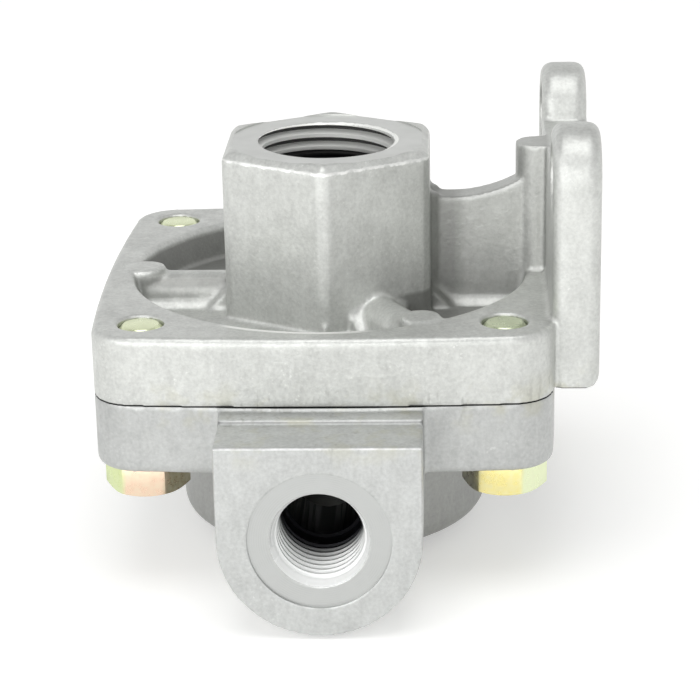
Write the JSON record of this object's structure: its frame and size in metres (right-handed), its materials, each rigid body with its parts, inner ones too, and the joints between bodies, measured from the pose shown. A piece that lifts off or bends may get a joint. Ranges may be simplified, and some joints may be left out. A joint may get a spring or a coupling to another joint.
{
  "type": "quick exhaust valve",
  "caption": "Cast aluminium quick exhaust valve: hexagon supply boss, opposite threaded delivery ports, eared mounting plate and a rubber diaphragm that lifts between two seats.",
  "frame": {"origin": "centre of the exhaust hole at the face of the exhaust boss, on which the valve stands", "axes": "+Z along the valve axis towards the supply port, +X out of the mounting face, +Y towards the rear delivery port"},
  "size_m": [0.0686, 0.087, 0.0625],
  "materials": {
    "cast_cover": "die-cast, fine grained satin",
    "cast_body": "die-cast, satin, with machined port faces",
    "diaphragm_rubber": "matt moulded rubber",
    "seal_rubber": "smooth moulded rubber",
    "yellow_zinc": "zinc plated, yellow passivated, iridescent"
  },
  "bodies": {
    "housing": {"cover": "cast_cover", "body": "cast_body", "cover_seal": "seal_rubber", "cover_bolts": "yellow_zinc"},
    "diaphragm": {"diaphragm": "diaphragm_rubber"}
  },
  "joints": [
    {"name": "diaphragm_lift", "type": "slide", "parent": "housing", "child": "diaphragm", "axis": [0, 0, 1], "range_m": [0, 0.0016]}
  ]
}
